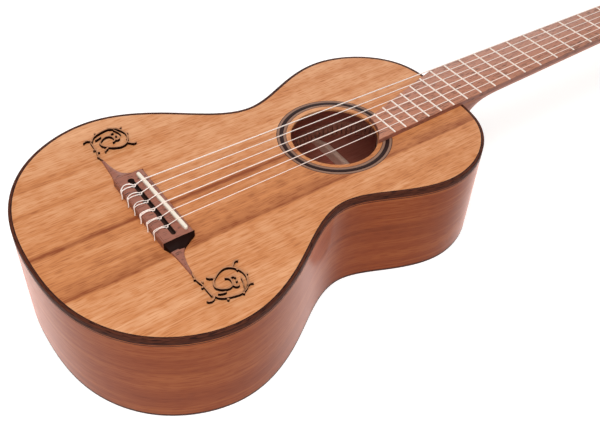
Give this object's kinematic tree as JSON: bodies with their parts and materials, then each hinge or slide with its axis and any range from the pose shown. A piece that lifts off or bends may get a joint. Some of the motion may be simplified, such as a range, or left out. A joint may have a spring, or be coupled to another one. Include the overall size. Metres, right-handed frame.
{
  "type": "romantic guitar",
  "caption": "Gut-strung guitar with a narrow-waisted body, round soundhole, tie bridge with whiskers and scrolls, slanted board end and a slotted head.",
  "frame": {"origin": "middle of the instrument's length and width, on the plane of the flat back", "axes": "+X to the treble side, +Y from tail to head, +Z from the back to the soundboard"},
  "size_m": [0.2754, 0.924, 0.1108],
  "materials": {
    "top_wood": "satin koa, grain along the body",
    "rib_wood": "satin red-brown koa",
    "binding_wood": "dark rosewood binding",
    "lining_wood": "unfinished cedar",
    "block_wood": "unfinished spruce",
    "rosette_wood": "inlaid dark and brown rings",
    "neck_wood": "satin mahogany",
    "rosewood": "oiled rosewood",
    "bridge_rosewood": "oiled rosewood",
    "bone": "polished bone",
    "fret_wire": "polished nickel silver",
    "plain_string": "smooth gut colour",
    "wound_string": "fine metal winding",
    "brass": "polished brass",
    "button_brass": "brass worm, bone button",
    "roller_bone": "bone roller, brass gear"
  },
  "bodies": {
    "guitar": {"soundboard": "top_wood", "back": "rib_wood", "rib_treble": "rib_wood", "rib_bass": "rib_wood", "binding_top": "binding_wood", "binding_back": "binding_wood", "lining_top": "lining_wood", "lining_back": "lining_wood", "neck_block": "block_wood", "tail_block": "block_wood", "rosette": "rosette_wood", "neck": "neck_wood", "fretboard": "rosewood", "nut": "bone", "saddle": "bone", "bridge": "bridge_rosewood", "machine_plate_treble": "brass", "machine_plate_bass": "brass", "top_brace_1": "lining_wood", "top_brace_2": "lining_wood", "top_brace_3": "lining_wood", "back_brace_1": "lining_wood", "back_brace_2": "lining_wood", "back_brace_3": "lining_wood", "fret_01": "fret_wire", "fret_02": "fret_wire", "fret_03": "fret_wire", "fret_04": "fret_wire", "fret_05": "fret_wire", "fret_06": "fret_wire", "fret_07": "fret_wire", "fret_08": "fret_wire", "fret_09": "fret_wire", "fret_10": "fret_wire", "fret_11": "fret_wire", "fret_12": "fret_wire", "fret_13": "fret_wire", "fret_14": "fret_wire", "fret_15": "fret_wire", "fret_16": "fret_wire", "fret_17": "fret_wire", "fret_18": "fret_wire", "string_1": "plain_string", "string_2": "plain_string", "string_3": "plain_string", "string_4": "wound_string", "string_5": "wound_string", "string_6": "wound_string"},
    "worm_1": {"worm_1": "button_brass"},
    "roller_1": {"roller_1": "roller_bone"},
    "worm_2": {"worm_2": "button_brass"},
    "roller_2": {"roller_2": "roller_bone"},
    "worm_3": {"worm_3": "button_brass"},
    "roller_3": {"roller_3": "roller_bone"},
    "worm_4": {"worm_4": "button_brass"},
    "roller_4": {"roller_4": "roller_bone"},
    "worm_5": {"worm_5": "button_brass"},
    "roller_5": {"roller_5": "roller_bone"},
    "worm_6": {"worm_6": "button_brass"},
    "roller_6": {"roller_6": "roller_bone"}
  },
  "joints": [
    {"name": "button_1_turn", "type": "hinge", "parent": "guitar", "child": "worm_1", "pos_m": [0.0377, 0.3291, 0.0827], "axis": [0, 0.2419, 0.9703], "continuous": true},
    {"name": "roller_1_turn", "type": "hinge", "parent": "guitar", "child": "roller_1", "pos_m": [0, 0.33745, 0.08062], "axis": [1, 0, 0], "continuous": true},
    {"name": "button_2_turn", "type": "hinge", "parent": "guitar", "child": "worm_2", "pos_m": [0.0377, 0.36307, 0.07423], "axis": [0, 0.2419, 0.9703], "continuous": true},
    {"name": "roller_2_turn", "type": "hinge", "parent": "guitar", "child": "roller_2", "pos_m": [0, 0.37141, 0.07215], "axis": [1, 0, 0], "continuous": true},
    {"name": "button_3_turn", "type": "hinge", "parent": "guitar", "child": "worm_3", "pos_m": [0.0377, 0.39703, 0.06577], "axis": [0, 0.2419, 0.9703], "continuous": true},
    {"name": "roller_3_turn", "type": "hinge", "parent": "guitar", "child": "roller_3", "pos_m": [0, 0.40537, 0.06369], "axis": [1, 0, 0], "continuous": true},
    {"name": "button_4_turn", "type": "hinge", "parent": "guitar", "child": "worm_4", "pos_m": [-0.0377, 0.39703, 0.06577], "axis": [0, 0.2419, 0.9703], "continuous": true},
    {"name": "roller_4_turn", "type": "hinge", "parent": "guitar", "child": "roller_4", "pos_m": [0, 0.40537, 0.06369], "axis": [1, 0, 0], "continuous": true},
    {"name": "button_5_turn", "type": "hinge", "parent": "guitar", "child": "worm_5", "pos_m": [-0.0377, 0.36307, 0.07423], "axis": [0, 0.2419, 0.9703], "continuous": true},
    {"name": "roller_5_turn", "type": "hinge", "parent": "guitar", "child": "roller_5", "pos_m": [0, 0.37141, 0.07215], "axis": [1, 0, 0], "continuous": true},
    {"name": "button_6_turn", "type": "hinge", "parent": "guitar", "child": "worm_6", "pos_m": [-0.0377, 0.3291, 0.0827], "axis": [0, 0.2419, 0.9703], "continuous": true},
    {"name": "roller_6_turn", "type": "hinge", "parent": "guitar", "child": "roller_6", "pos_m": [0, 0.33745, 0.08062], "axis": [1, 0, 0], "continuous": true}
  ],
  "couplings": [
    {"joint": "roller_1_turn", "follows": "button_1_turn", "ratio": 0.071429},
    {"joint": "roller_2_turn", "follows": "button_2_turn", "ratio": 0.071429},
    {"joint": "roller_3_turn", "follows": "button_3_turn", "ratio": 0.071429},
    {"joint": "roller_4_turn", "follows": "button_4_turn", "ratio": -0.071429},
    {"joint": "roller_5_turn", "follows": "button_5_turn", "ratio": -0.071429},
    {"joint": "roller_6_turn", "follows": "button_6_turn", "ratio": -0.071429}
  ]
}
